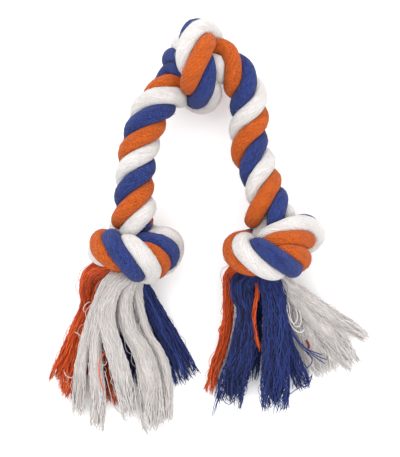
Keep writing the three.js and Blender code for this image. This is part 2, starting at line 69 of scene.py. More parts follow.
# How strands that press on each other settle: how far apart the places on them are, how many rounds, the
# share of an overlap that each round takes away, how far it evens a place's shift with its neighbours', and
# what a place is taken to be from itself, so that nothing is divided by nought
SETTLE_STEP = 0.003
SETTLE_ROUNDS = 60
SETTLE_SHARE = 0.5
SMOOTH_SHARE = 0.35
LEAST_APART = 1e-8

# Half of an overhand knot's path, from its middle out to a mouth. The other half is the same, turned half a
# turn about the y axis. Each knot has its middle, its turns, how tightly it is pulled, and how far some
# points of its path lie from where an even knot would have them.
KNOT_PATH = [
    (0, 0.91, 0),
    (-0.75, 0.81, -0.4),
    (-1.2, 0.26, -0.8),
    (-1.05, -0.49, -0.95),
    (-0.4, -0.94, -0.85),
    (0.25, -0.84, -0.45),
    (0.5, -0.34, 0.1),
    (0.2, 0.01, 0.75),
    (0.15, 0.01, 1.5),
]
LEFT_KNOT = dict(
    centre=(-2.22, -0.74, 1.29),
    spin=2.13,
    tilt=-0.46,
    turn=-0.44,
    tight=0.645,
    squash=0.87,
    shifts={
        0: (-0.22, 0, 0),
        2: (-0.04, 0.04, 0),
        3: (-0.13, 0.13, 0),
        4: (-0.06, 0.08, 0),
        11: (-0.1, 0, 0),
        12: (-0.1, 0, 0),
    },
)
CROWN_KNOT = dict(
    centre=(-0.44, 4.44, 1.29),
    spin=0.85,
    tilt=-0.34,
    turn=1.96,
    tight=0.64,
    squash=0.76,
    shifts={
        9: (-0.03, 0.14, 0),
        10: (0, 0.11, 0),
        12: (-0.1, -0.05, 0),
        13: (-0.1, -0.06, 0),
    },
)
RIGHT_KNOT = dict(
    centre=(1.66, -0.6, 1.44),
    spin=2.05,
    tilt=-0.21,
    turn=-0.09,
    tight=0.785,
    squash=0.68,
    shifts={
        2: (-0.08, 0.08, 0),
        3: (-0.17, 0.14, 0),
        4: (-0.08, 0.08, 0),
        13: (0, 0.08, 0.04),
        14: (0, 0.14, 0.08),
    },
)

# The legs between the knots, and where the rope ends
LEFT_LEG = [(-2.26, -0.05, 1.68), (-2.16, 1.76, 1.64), (-1.76, 3.16, 1.56), (-1.4, 3.64, 1.44)]
RIGHT_LEG = [(0.92, 3.76, 1.4), (1, 2.28, 1.4), (1.24, 1.68, 1.44), (1.64, 0.2, 1.7)]
LEFT_END = (-2.44, -1.33, 1.44)
RIGHT_END = (1.42, -1.42, 1.56)

# How many turns the strands make about the rope in each of its stretches, from the left end to the right
FIRST_TURN = 0.48
TURNS = (0.92, 1.06, 1.199, 0.759, 2.952, 1.867, 0.928, 0.468, 2.827, 0.973, 2.751, 0.47)
# How far into its knot, or back from the rope's right end, each later stretch of the lay begins
LEFT_STRETCHES = np.array([1.96, 4.2, 6.4]) * ROPE
CROWN_STRETCHES = np.array([4.4, 5.8]) * ROPE
RIGHT_FRONT_RUN = 1.4 * ROPE
RIGHT_MOUTH_RUN = 1.96 * ROPE
# Where each strand lies round the rope, as a share of a turn
STRANDS = {"orange": 0, "white": 1 / 3, "blue": 2 / 3}

# The start of a strand's locks, inside its end: how wide they lie there side by side and how thick they
# are, how far in they start, and the shares of that at which each has its first two places
LOCK_START_SPAN = 0.0105
LOCK_START_HEIGHT = 0.009
LOCK_ROOT = 0.012
LOCK_ROOT_SHARES = (1.0, 0.6)

# How finely the pieces are drawn
LINE_STEPS = 24
RING_STEP = 0.00125
STRAND_SIDES = 64
WELD = 1e-6
CAP_WELD = 1e-7
# A path that starts this much along x takes its first direction from y
ALONG_SHARE = 0.8

# A strand: how it is pressed by its neighbours, of which every second place counts, and only on the side
# that faces them, and how it tapers to its ends
PRESS_ROUNDS = 4
PRESS_EVERY = 2
LEAST_FACING = 0.02
STRAND_TAPER = 0.013
STRAND_TIP_SHARE = 0.3
# What another strand's places have for a run, so that none of them counts as near along the same strand
ANOTHER_STRAND = -1000.0
# How far off the floor a strand's flat underside stays
FLOOR_ROOM = 0.0002
# The yarns of a strand: the length in which they go round it once, against its lay, and how many show
STRAND_TWIST = -0.065
YARNS_ROUND = 34
# Lumps in a strand: lobes round it, length along it, and size as a share of its radius
LUMPS = [
    (0, 0.023, 0.012),
    (0, 0.041, 0.014),
    (1, 0.017, 0.012),
    (2, 0.029, 0.012),
    (3, 0.013, 0.006),
    (5, 0.011, 0.004),
]
LUMP_TURN = 3

# Short fibres that stand off a strand, and how many sides of it each may cross at a step
HAIRS = 2600
HAIR_RADIUS = 0.00007
HAIR_LENGTH = 0.0028
HAIR_RISE = 0.0007
HAIR_TURN = 3

# The loose yarns that lie on a lock's body: how far apart they lie, how far they wander and drift round it,
# and how much shorter than the others one may be
YARN_STEP = 0.0018
YARN_SIDES = 4
YARN_RADIUS = 0.0003
YARN_RADIUS_SHARES = (0.85, 1.15)
YARN_TIP_SHARES = (0.8, 0.45)
YARN_SPACING = 0.00056
YARN_WANDER = 0.0002
YARN_WAVE = 0.011
YARN_DRIFT = 0.3
YARN_DRIFT_WAVE = 0.06
YARN_SHORTER_SHARE = 0.06
# The three waves that a yarn's wandering is made of, in shares of its wave, how much their lengths differ,
# and what evens out their sum
WAVE_SHARES = (0.6, 1.0, 1.7)
WAVE_LENGTH_SHARES = (0.8, 1.25)
WAVE_SUM = 1.7
# How far round a lock its yarns may turn on their way, in radians, and how far past its last place it goes
LOCK_TWIST = 0.7
LOCK_EXTRA = 0.0045
# How much looser than those of the left white locks the yarns of the others wander
LOOSE_SHARES = {
    "left_orange": 1.5,
    "left_white": 1.0,
    "left_blue": 1.2,
    "right_orange": 1.5,
    "right_blue": 1.5,
    "right_white": 3.0,
}

# A lock's soft body of packed yarns: it ends a little before its yarns do, and has fine ridges and streaks,
# each of some rings' length, whose tone follows their height
BODY_SIDES = 72
BODY_SHARE = 1.06
BODY_BACK = 0.009
BODY_TAPER = 0.028
BODY_TIP_SHARE = 0.01
BODY_RIDGE = 0.08
BODY_STREAK = 9
BODY_TONE = 0.6
# How far the body's tone is lowered all over: painted shade in the gaps between the yarns that lie on it
BODY_PAINTED_SHADE = 0.15
# Creases round a lock's body: how many round it, the length in which they go round once, and their depth
CREASES = [(2, 0.21, 0.08), (3, 0.14, 0.09), (5, 0.1, 0.07), (9, 0.08, 0.04)]

# The tufts that a lock's yarns gather in towards its end, the wisps that stand off it, and the fray of tips
TUFT_WIDTH = 0.0045
TUFT_LENGTH = 0.024
TUFT_GATHER = 0.4
TUFT_DRAW_IN = 0.3
TUFT_SHORTER_SHARE = 0.06
WISP_SHARE = 0.2
WISP_REACH = 0.0018
WISP_WAVE = 0.03
WISP_THIN_SHARE = 0.5
FRAY_LENGTH = 0.009
FRAY_REACH = 0.0009
FRAY_FLAT_SHARES = (1, 1, 0.5)
FRAY_CURL = 1.5
# How thick a lock's stray yarns are, and their tone
STRAY_LOOK = (0.00028, 0.6)
STRAY_LOOKS = {
    "left_orange_lock_3": (0.00042, 0.8),
    "right_white_lock_1": (0.00055, 1.0),
    "right_orange_lock_1": (0.0005, 0.6),
    "right_orange_lock_2": (0.0006, -0.6),
    "right_blue_lock_4": (0.00038, 0.6),
}

# How fine the cotton's patterns are: a strand's yarns round it and along it, the fibres of a yarn, the fluff
# over them, how the yarns drift from an even twist, and the fibres of the loose yarns
YARN_FINENESS = 6.0
YARN_FINENESS_ALONG = 90.0
FIBRES_TO_A_YARN = 5.0
FLUFF_FINENESS = 1000.0
DRIFT_FINENESS = 120.0
DRIFT_SHARE = 0.03
LOOSE_FIBRE_FINENESS = 2200.0

# The colours on screen, light and dark, with how fuzzy the cotton is, and for a strand how speckled
ROPE_LOOKS = {
    "orange": ((0.8, 0.383, 0.094), (0.53, 0.195, 0.04), 0.05, 2.4),
    "white": ((0.872, 0.858, 0.85), (0.695, 0.676, 0.664), 0.12, 1.1),
    "blue": ((0.187, 0.262, 0.54), (0.045, 0.07, 0.2), 0.06, 2.6),
}
TASSEL_LOOKS = {
    "orange": ((0.859, 0.36, 0.13), (0.5, 0.13, 0.04), 0.06),
    "white": ((0.803, 0.781, 0.772), (0.66, 0.639, 0.629), 0.12),
    "blue": ((0.178, 0.243, 0.505), (0.01, 0.02, 0.095), 0.05),
}

# The floor and the soft studio light: the light from all round, and two softboxes aimed at the toy
FLOOR_SIZE = 3
FLOOR_COLOUR = (0.99, 0.99, 0.99)
STUDIO_LIGHT = 1.32
SOFTBOX_SIZE = 1.5
SOFTBOXES = {
    "key_light": ((-0.5, 0.9, 1.3), 17.5),
    "fill_light": ((0.9, -0.4, 1.2), 9),
}
RANDOM_SEED = 11

# Each lock's places after its strand's end, with its width and thickness there, in shares of the rope
LOCKS = {
    "left_orange_lock_1": [
        (-3.11, -1.18, 1.44, 0.46, 0.4),
        (-3.43, -1.34, 1.08, 0.5, 0.44),
        (-3.58, -1.72, 0.76, 0.46, 0.4),
        (-3.62, -2.24, 0.48, 0.34, 0.32),
        (-3.9, -2.94, 0.32, 0.37, 0.28),
        (-4.21, -3.68, 0.24, 0.42, 0.24),
        (-4.52, -4.35, 0.18, 0.42, 0.2),
    ],
    "left_orange_lock_2": [
        (-2.98, -1.37, 1.2, 0.46, 0.4),
        (-3.2, -1.7, 0.84, 0.5, 0.4),
        (-3.36, -2.24, 0.52, 0.46, 0.36),
        (-3.59, -2.97, 0.32, 0.48, 0.28),
        (-3.87, -3.93, 0.2, 0.68, 0.24),
        (-4.1, -4.77, 0.18, 0.79, 0.2),
    ],
    "left_orange_lock_3": [
        (-2.86, -1.62, 0.8, 0.31, 0.28),
        (-3, -2.21, 0.36, 0.37, 0.2),
        (-3.08, -3.06, 0.2, 0.42, 0.2),
        (-3, -3.9, 0.16, 0.45, 0.16),
        (-2.86, -4.92, 0.14, 0.42, 0.16),
    ],
    "left_white_lock_1": [
        (-2.72, -1.31, 1.68, 0.25, 0.32),
        (-3.03, -1.62, 1.52, 0.31, 0.36),
        (-3.28, -2.18, 1.24, 0.3, 0.38),
        (-3.54, -2.92, 0.88, 0.3, 0.36),
        (-3.73, -3.76, 0.56, 0.34, 0.32),
        (-3.81, -4.66, 0.36, 0.38, 0.32),
        (-3.84, -5.39, 0.24, 0.38, 0.26),
    ],
    "left_white_lock_2": [
        (-2.61, -1.37, 1.72, 0.28, 0.36),
        (-2.89, -1.7, 1.56, 0.37, 0.4),
        (-3.14, -2.24, 1.28, 0.37, 0.42),
        (-3.31, -3.03, 0.92, 0.37, 0.42),
        (-3.34, -3.93, 0.6, 0.44, 0.42),
        (-3.28, -4.83, 0.42, 0.5, 0.4),
        (-3.31, -5.79, 0.24, 0.46, 0.28),
    ],
    "left_white_lock_3": [
        (-2.49, -1.48, 1.76, 0.34, 0.4),
        (-2.75, -1.68, 1.68, 0.45, 0.44),
        (-2.97, -2.13, 1.52, 0.54, 0.48),
        (-3, -2.69, 1.28, 0.54, 0.48),
        (-2.8, -3.48, 1, 0.56, 0.44),
        (-2.58, -4.32, 0.68, 0.56, 0.4),
        (-2.38, -5.42, 0.32, 0.48, 0.28),
    ],
    "left_white_lock_4": [
        (-2.32, -1.51, 1.6, 0.37, 0.36),
        (-2.44, -1.79, 1.44, 0.45, 0.4),
        (-2.51, -2.24, 1.28, 0.45, 0.42),
        (-2.38, -2.92, 1.08, 0.52, 0.44),
        (-2.05, -3.48, 0.9, 0.6, 0.44),
        (-1.87, -4.04, 0.72, 0.68, 0.42),
        (-1.79, -4.77, 0.48, 0.75, 0.36),
        (-1.73, -5.73, 0.28, 0.78, 0.24),
    ],
    "left_white_lock_5": [
        (-2.13, -1.51, 1.36, 0.31, 0.32),
        (-2.14, -1.93, 1.16, 0.3, 0.34),
        (-2.06, -2.41, 1.04, 0.28, 0.34),
        (-1.86, -3.03, 0.84, 0.27, 0.34),
        (-1.51, -3.6, 0.64, 0.26, 0.34),
        (-1.32, -4.3, 0.44, 0.28, 0.3),
        (-1.27, -5.51, 0.24, 0.28, 0.24),
    ],
    "left_blue_lock_1": [
        (-2.38, -1.93, 0.8, 0.34, 0.28),
        (-2.49, -2.77, 0.44, 0.42, 0.28),
        (-2.35, -3.48, 0.28, 0.45, 0.24),
        (-2.24, -4.44, 0.16, 0.39, 0.2),
    ],
    "left_blue_lock_2": [
        (-2.04, -1.79, 0.92, 0.28, 0.36),
        (-1.82, -2.27, 0.64, 0.34, 0.32),
        (-1.54, -2.92, 0.4, 0.39, 0.32),
        (-1.2, -3.62, 0.28, 0.45, 0.24),
        (-0.92, -4.35, 0.2, 0.51, 0.2),
    ],
    "left_blue_lock_3": [
        (-1.87, -1.79, 0.72, 0.25, 0.32),
        (-1.62, -2.3, 0.44, 0.31, 0.32),
        (-1.28, -2.92, 0.32, 0.37, 0.28),
        (-0.89, -3.59, 0.24, 0.39, 0.24),
        (-0.55, -4.24, 0.18, 0.45, 0.2),
    ],
    "right_orange_lock_1": [
        (0.69, -1.23, 1.36, 0.34, 0.36),
        (0.46, -1.37, 1.08, 0.34, 0.36),
        (0.42, -1.87, 0.76, 0.32, 0.3),
        (0.41, -2.58, 0.52, 0.3, 0.26),
        (0.27, -3.34, 0.36, 0.31, 0.26),
        (0.04, -4.04, 0.24, 0.31, 0.26),
        (-0.09, -4.61, 0.18, 0.3, 0.22),
    ],
    "right_orange_lock_2": [
        (1.23, -1.62, 1.52, 0.11, 0.12),
        (1.23, -1.93, 1.48, 0.11, 0.12),
        (1.14, -2.41, 1.32, 0.11, 0.12),
        (1.17, -2.92, 1.08, 0.1, 0.12),
        (1.28, -3.42, 0.8, 0.1, 0.12),
    ],
    "right_blue_lock_1": [
        (1.08, -1.37, 1.56, 0.51, 0.48),
        (0.86, -1.56, 1.44, 0.7, 0.56),
        (0.83, -1.9, 1.36, 0.73, 0.56),
        (0.92, -2.32, 1.2, 0.54, 0.48),
        (0.89, -2.97, 0.96, 0.65, 0.48),
        (0.75, -3.76, 0.68, 0.79, 0.44),
        (0.52, -4.46, 0.4, 0.9, 0.36),
        (0.46, -5, 0.24, 0.96, 0.24),
    ],
    "right_blue_lock_2": [
        (1.2, -2.07, 0.64, 0.45, 0.32),
        (1.14, -2.92, 0.36, 0.5, 0.24),
        (1.14, -3.6, 0.2, 0.45, 0.24),
        (1.12, -4.25, 0.16, 0.35, 0.2),
    ],
    "right_blue_lock_3": [
        (1.45, -1.48, 1.68, 0.42, 0.44),
        (1.59, -1.82, 1.52, 0.59, 0.52),
        (1.7, -2.41, 1.32, 0.7, 0.52),
        (1.76, -3.08, 1.08, 0.76, 0.48),
        (1.79, -3.93, 0.72, 0.82, 0.44),
        (1.76, -5.17, 0.28, 0.9, 0.28),
    ],
    "right_blue_lock_4": [
        (1.73, -1.54, 1.44, 0.34, 0.4),
        (1.86, -1.96, 1.2, 0.36, 0.4),
        (1.92, -2.58, 0.92, 0.36, 0.36),
        (2.15, -3.48, 0.6, 0.42, 0.32),
        (2.58, -4.55, 0.24, 0.56, 0.24),
    ],
    "right_white_lock_1": [
        (1.9, -1.79, 0.8, 0.34, 0.32),
        (2.1, -2.41, 0.48, 0.45, 0.28),
        (2.35, -3.14, 0.24, 0.7, 0.24),
        (2.77, -4.21, 0.16, 0.85, 0.16),
    ],
    "right_white_lock_2": [
        (1.99, -1.73, 0.96, 0.34, 0.32),
        (2.27, -2.24, 0.64, 0.45, 0.32),
        (2.75, -3.14, 0.36, 0.7, 0.28),
        (3.25, -4.15, 0.2, 0.8, 0.2),
    ],
    "right_white_lock_3": [
        (2.04, -1.68, 1.12, 0.34, 0.36),
        (2.41, -2.1, 0.84, 0.45, 0.32),
        (3, -2.75, 0.52, 0.62, 0.32),
        (3.54, -3.37, 0.32, 0.7, 0.28),
        (3.99, -3.96, 0.2, 0.6, 0.2),
    ],
    "right_white_lock_4": [
        (2.07, -1.59, 1.2, 0.28, 0.32),
        (2.44, -1.85, 1, 0.34, 0.32),
        (3.06, -2.32, 0.68, 0.37, 0.32),
        (3.73, -2.75, 0.4, 0.37, 0.28),
        (4.44, -3.2, 0.2, 0.31, 0.2),
    ],
}

# Stray yarns that hang off their lock: places along each
STRAYS = {
    "left_white_lock_1": [
        [
            (-3.48, -2.13, 1.0), (-3.58, -2.18, 1.04), (-3.66, -2.27, 0.96),
            (-3.68, -2.36, 0.9), (-3.62, -2.45, 0.86),
        ],
        [
            (-3.48, -3.54, 0.68), (-3.59, -3.34, 0.68), (-3.7, -3.2, 0.64),
            (-3.82, -3.06, 0.6), (-3.94, -2.99, 0.56),
        ],
        [
            (-3.76, -4.07, 0.48), (-3.87, -4.21, 0.4), (-4.04, -4.3, 0.36),
            (-4.18, -4.24, 0.36), (-4.25, -4.11, 0.36),
        ],
        [
            (-3.56, -3.68, 0.64), (-3.68, -3.54, 0.64), (-3.73, -3.37, 0.6),
            (-3.65, -3.28, 0.64), (-3.54, -3.39, 0.68),
        ],
    ],
    "left_white_lock_3": [
        [
            (-3.08, -4.1, 0.68), (-3.0, -4.44, 0.52), (-2.92, -4.77, 0.36), (-2.86, -5.03, 0.24),
            (-2.72, -5.25, 0.16), (-2.52, -5.39, 0.12),
        ],
        [
            (-3.17, -3.54, 0.84), (-3.25, -3.7, 0.8), (-3.23, -3.87, 0.76),
            (-3.08, -3.93, 0.76), (-3.0, -3.79, 0.8),
        ],
    ],
    "left_orange_lock_3": [
        [
            (-3.06, -3.56, 0.92), (-3.17, -3.7, 1.0), (-3.24, -3.93, 0.96), (-3.22, -4.24, 0.86),
            (-3.17, -4.49, 0.76), (-3.11, -4.66, 0.66),
        ],
    ],
    "right_orange_lock_1": [
        [
            (0.35, -2.69, 0.6), (0.24, -2.8, 0.56), (0.17, -2.89, 0.52), (0.15, -2.97, 0.5),
            (0.21, -3.04, 0.5), (0.3, -3.03, 0.52),
        ],
        [
            (0.35, -2.75, 0.6), (0.25, -2.84, 0.58), (0.2, -2.92, 0.54), (0.2, -2.97, 0.52),
            (0.24, -3.01, 0.52), (0.32, -2.97, 0.54),
        ],
    ],
    "right_white_lock_1": [
        [
            (1.94, -1.93, 1.1), (2.05, -2.21, 1.02), (2.1, -2.46, 0.94), (2.17, -2.66, 0.9),
            (2.29, -2.75, 0.86), (2.36, -2.63, 0.86), (2.36, -2.44, 0.86), (2.25, -2.21, 0.9),
        ],
        [
            (2.0, -1.93, 1.06), (2.13, -2.24, 0.98), (2.17, -2.55, 0.9), (2.28, -2.8, 0.86),
            (2.42, -2.83, 0.82), (2.48, -2.66, 0.82), (2.42, -2.38, 0.86), (2.28, -2.1, 0.9),
        ],
        [
            (2.03, -2.1, 1.02), (2.08, -2.44, 0.94), (2.15, -2.72, 0.86), (2.31, -2.94, 0.82),
            (2.48, -3.0, 0.78), (2.59, -2.89, 0.78),
        ],
    ],
    "right_orange_lock_2": [
        [(2.62, -3.23, 0.48), (2.68, -3.31, 0.5), (2.7, -3.39, 0.5), (2.68, -3.48, 0.48)],
        [(2.65, -3.25, 0.5), (2.7, -3.34, 0.52), (2.71, -3.42, 0.51), (2.69, -3.49, 0.48)],
    ],
    "right_blue_lock_4": [
        [
            (2.07, -2.58, 0.88), (2.15, -2.86, 1.06), (2.32, -3.14, 0.94), (2.52, -3.39, 0.82),
            (2.75, -3.56, 0.7), (3.0, -3.7, 0.58), (3.23, -3.79, 0.5),
        ],
        [
            (2.04, -2.69, 0.88), (2.15, -2.94, 1.02), (2.35, -3.23, 0.9), (2.55, -3.48, 0.78),
            (2.77, -3.62, 0.66), (3.0, -3.79, 0.58), (3.17, -3.9, 0.5),
        ],
        [
            (2.13, -2.75, 0.8), (2.27, -3.03, 0.94), (2.44, -3.28, 0.86), (2.66, -3.48, 0.74),
            (2.92, -3.59, 0.62), (3.11, -3.65, 0.54),
        ],
        [
            (2.61, -3.54, 0.48), (2.75, -3.68, 0.66), (2.8, -3.79, 0.62),
            (2.75, -3.93, 0.58), (2.61, -4.04, 0.54),
        ],
        [
            (2.44, -4.44, 0.32), (2.55, -4.55, 0.54), (2.69, -4.49, 0.5),
            (2.77, -4.32, 0.5), (2.8, -4.18, 0.5),
        ],
    ],
    "right_blue_lock_3": [
        [
            (2.07, -4.83, 0.28), (2.18, -4.77, 0.24), (2.32, -4.66, 0.24), (2.49, -4.55, 0.24),
            (2.69, -4.35, 0.24), (2.8, -4.24, 0.2),
        ],
    ],
    "right_blue_lock_1": [
        [
            (0.3, -4.44, 0.36), (0.15, -4.66, 0.28), (0.07, -4.92, 0.2),
            (0.0, -5.17, 0.16), (-0.03, -5.42, 0.12),
        ],
        [
            (0.32, -4.49, 0.36), (0.2, -4.72, 0.28), (0.11, -4.97, 0.2),
            (0.03, -5.23, 0.16), (0.01, -5.48, 0.12),
        ],
        [(0.3, -4.66, 0.28), (0.18, -4.86, 0.2), (0.1, -5.06, 0.16), (0.06, -5.28, 0.12)],
        [
            (0.24, -4.83, 0.24), (0.3, -4.97, 0.2), (0.41, -5.06, 0.16),
            (0.52, -5.03, 0.16), (0.44, -4.92, 0.2),
        ],
        [(0.35, -4.58, 0.28), (0.52, -4.66, 0.24), (0.72, -4.66, 0.24), (0.86, -4.61, 0.28)],
    ],
}


def smooth_line(controls):
    """A smooth line through points, finely drawn, and how far along it each of its points lies.

    Columns after the third, such as a width, are carried along with the place."""
    points = np.asarray(controls, float)
    ends = np.concatenate([[2 * points[0] - points[1]], points, [2 * points[-1] - points[-2]]])
    t = (np.arange(LINE_STEPS) / LINE_STEPS)[None, :, None]
    p0, p1, p2, p3 = (ends[i : len(ends) - 3 + i][:, None, :] for i in range(4))
    bends = (2 * p0 - 5 * p1 + 4 * p2 - p3) * t * t + (-p0 + 3 * p1 - 3 * p2 + p3) * t**3
    fine = np.concatenate([(p1 + 0.5 * ((p2 - p0) * t + bends)).reshape(-1, points.shape[1]), points[-1:]])
    run = np.concatenate([[0], np.cumsum(np.linalg.norm(np.diff(fine[:, :3], axis=0), axis=1))])
    return fine, run


def even_points(fine, run, step):
    at = np.linspace(0, run[-1], max(2, round(run[-1] / step)) + 1)
    return np.stack([np.interp(at, run, column) for column in fine.T], 1), at


def directions(points):
    """Along a path, and two ways across it that turn no more than the path does."""
    ahead = np.concatenate([points[1:2] - points[:1], points[2:] - points[:-2], points[-1:] - points[-2:-1]])
    ahead /= np.linalg.norm(ahead, axis=1)[:, None]
    side = np.zeros_like(points)
    first = np.array([0, 1.0, 0]) if abs(ahead[0, 0]) > ALONG_SHARE else np.array([1.0, 0, 0])
    for i, along in enumerate(ahead):
        before = first if i == 0 else side[i - 1]
        side[i] = before - along * (before @ along)
        side[i] /= np.linalg.norm(side[i])
    return ahead, side, np.cross(ahead, side)


def place(shares):
    return np.asarray(shares, float) * ROPE


def knot_path(knot):
    """A knot's path from its upper mouth to its lower one."""
    half = np.array(KNOT_PATH, float)
    path = np.concatenate([(half[1:] * [-1, 1, -1])[::-1], half]) * knot["tight"] * ROPE
    path[:, 2] *= knot["squash"]
    turned = (
        Matrix.Rotation(knot["turn"], 3, "Z")
        @ Matrix.Rotation(knot["tilt"], 3, "X")
        @ Matrix.Rotation(math.pi / 2, 3, "X")
        @ Matrix.Rotation(knot["spin"], 3, "Z")
    )
    path = path @ np.array(turned).T + place(knot["centre"])
    for at, shift in knot["shifts"].items():
        path[at] += place(shift)
    return path


def rope_axis():
    left = knot_path(LEFT_KNOT)[::-1].copy()
    crown = knot_path(CROWN_KNOT)
    right = knot_path(RIGHT_KNOT)
    left[0] = place(LEFT_END)
    right[-1] = place(RIGHT_END)
    stretches = [left, place(LEFT_LEG), crown, place(RIGHT_LEG), right]
    fine, run = smooth_line(np.concatenate(stretches))
    ends = np.cumsum([0] + [len(s) for s in stretches])
    runs = [(run[a * LINE_STEPS], run[(b - 1) * LINE_STEPS]) for a, b in zip(ends[:-1], ends[1:])]
    return fine, run, [runs[0], runs[2], runs[4]]


def lay_strands():
    """The three strands laid round the rope's axis, and how far each place is into a knot."""
    fine, run, (left, crown, right) = rope_axis()
    axis, at = even_points(fine, run, SETTLE_STEP)
    _, side, up = directions(axis)
    stations = np.concatenate(
        [
            [left[0]],
            left[0] + LEFT_STRETCHES,
            [left[1], crown[0]],
            crown[0] + CROWN_STRETCHES,
            [crown[1], right[0], right[0] + RIGHT_FRONT_RUN, right[1] - RIGHT_MOUTH_RUN, right[1]],
        ]
    )
    turns = np.interp(at, stations, np.cumsum([FIRST_TURN, *TURNS]))
    past = np.maximum(0, np.maximum(MOUTH_LEAD - at, at - run[-1] + MOUTH_LEAD)) / MOUTH_LEAD
    offset = (LAY_RADIUS * (1 + MOUTH_FLARE_SHARE * past))[:, None]
    depth = np.maximum.reduce(
        [
            np.minimum(SQUEEZE_LENGTH, left[1] - at),
            np.minimum(at - crown[0], crown[1] - at),
            np.minimum(at - right[0], SQUEEZE_LENGTH),
        ]
    )
    squeeze = np.clip(depth / SQUEEZE_LENGTH, 0, 1)
    laid = {}
    for name, phase in STRANDS.items():
        angle = 2 * math.pi * (turns + phase)
        laid[name] = axis + offset * (np.cos(angle)[:, None] * side + np.sin(angle)[:, None] * up)
    return laid, squeeze


def settle(laid, squeeze):
    """Strands that press on each other move apart, each shift evened out along its strand."""
    count = len(squeeze)
    start = np.concatenate(list(laid.values()))
    strand = np.repeat(np.arange(len(laid)), count)
    steps = [np.linalg.norm(np.diff(p, axis=0), axis=1) for p in laid.values()]
    run = np.concatenate([np.concatenate([[0], np.cumsum(s)]) for s in steps])
    reach = np.tile(FREE_CONTACT + (KNOT_CONTACT - FREE_CONTACT) * squeeze, len(laid))
    need = reach[:, None] + reach[None, :]
    own = (strand[:, None] == strand[None, :]) & (np.abs(run[:, None] - run[None, :]) < SAME_STRAND_RUN)
    shift = np.zeros_like(start)
    lowest = KNOT_RADIUS - FLOOR_CUT
    for _ in range(SETTLE_ROUNDS):
        now = start + shift
        apart = ((now[:, None, :] - now[None, :, :]) ** 2).sum(-1)
        distance = np.sqrt(np.maximum(apart, LEAST_APART**2))
        i, j = np.nonzero((distance < need) & ~own)
        gap = distance[i, j]
        push = (now[i] - now[j]) / gap[:, None] * ((need[i, j] - gap) * SETTLE_SHARE)[:, None]
        moved = np.zeros_like(start)
        touches = np.zeros(len(start))
        np.add.at(moved, i, push)
        np.add.at(touches, i, 1)
        shift += moved / np.maximum(touches, 1)[:, None]
        shift[:, 2] = np.maximum(shift[:, 2], lowest - start[:, 2])
        for k in range(len(laid)):
            part = shift[k * count : (k + 1) * count]
            even = part.copy()
            even[1:-1] = (part[:-2] + part[2:]) / 2
            part += SMOOTH_SHARE * (even - part)
    return {name: (start + shift)[k * count : (k + 1) * count] for k, name in enumerate(laid)}


def strand_paths():
    """Each settled strand as places along it, with its radius there."""
    laid, squeeze = lay_strands()
    paths = {}
    for name, points in settle(laid, squeeze).items():
        fine, run = smooth_line(points)
        line, at = even_points(fine, run, RING_STEP)
        in_knot = np.interp(at, run[::LINE_STEPS], squeeze)
        radius = FREE_RADIUS + (KNOT_RADIUS - FREE_RADIUS) * in_knot
        paths[name] = dict(points=line, run=at, radius=radius)
    return paths


def evened(reach, rounds):
    """Reaches round and along a strand, each evened with its neighbours."""
    for _ in range(rounds):
        reach = (np.roll(reach, 1, axis=1) + 2 * reach + np.roll(reach, -1, axis=1)) / 4
        padded = np.concatenate([reach[:1], reach, reach[-1:]])
        reach = (padded[:-2] + 2 * padded[1:-1] + padded[2:]) / 4
    return reach


def pressed_reaches(name, paths):
    """How far a strand reaches from its own line, all round it, where its neighbours let it."""
    own = paths[name]
    _, side, up = directions(own["points"])
    angle = 2 * math.pi * np.arange(STRAND_SIDES) / STRAND_SIDES
    outward = np.cos(angle)[None, :, None] * side[:, None, :] + np.sin(angle)[None, :, None] * up[:, None, :]
    points = np.concatenate([path["points"][::PRESS_EVERY] for path in paths.values()])
    radii = np.concatenate([path["radius"][::PRESS_EVERY] for path in paths.values()])
    runs = []
    for key, path in paths.items():
        run = path["run"][::PRESS_EVERY]
        runs.append(run if key == name else np.full(len(run), ANOTHER_STRAND))
    runs = np.concatenate(runs)
    reach = np.tile(own["radius"][:, None], (1, STRAND_SIDES))
    for i, here in enumerate(own["points"]):
        apart = points - here
        distance = np.linalg.norm(apart, axis=1)
        near = (distance < own["radius"][i] + radii) & (np.abs(runs - own["run"][i]) > SAME_STRAND_RUN)
        if not near.any():
            continue
        room = distance[near] * own["radius"][i] / (own["radius"][i] + radii[near])
        toward = outward[i] @ (apart[near] / distance[near][:, None]).T
        facing = room / np.maximum(toward, LEAST_FACING)
        limit = np.where(toward > LEAST_FACING, facing, np.inf).min(axis=1)
        reach[i] = np.minimum(reach[i], limit)
    return outward, evened(reach, PRESS_ROUNDS)


def lumps(run, rng):
    """How much fuller or leaner than even a strand is, along it and round it, as laid cotton is."""
    angle = 2 * math.pi * np.arange(STRAND_SIDES) / STRAND_SIDES
    total = np.ones((len(run), STRAND_SIDES))
    for lobes, length, size in LUMPS:
        phase = rng.uniform(0, 2 * math.pi, 2)
        along = np.sin(2 * math.pi * run / length + phase[0])[:, None]
        turn = 2 * math.pi * run[:, None] / (LUMP_TURN * length)
        total += size * along * np.cos(lobes * angle[None, :] + turn + phase[1])
    return total


def swept(name, lines, radii):
    """A mesh of round sections swept along lines.

    It has the end caps first, from the last line to the first, and then the tubes in their order."""
    curve = bpy.data.curves.new(name, "CURVE")
    curve.dimensions = "3D"
    curve.bevel_depth = 1
    curve.bevel_resolution = 0
    curve.use_fill_caps = True
    for points, radius in zip(lines, radii):
        spline = curve.splines.new("POLY")
        spline.points.add(len(points) - 1)
        weighted = np.concatenate([points, np.ones((len(points), 1))], axis=1)
        spline.points.foreach_set("co", weighted.ravel())
        spline.points.foreach_set("radius", radius)
    drawn = bpy.data.objects.new(name, curve)
    bpy.context.scene.collection.objects.link(drawn)
    depsgraph = bpy.context.evaluated_depsgraph_get()
    mesh = bpy.data.meshes.new_from_object(drawn.evaluated_get(depsgraph))
    bpy.data.objects.remove(drawn)
    mesh.name = name
    return mesh


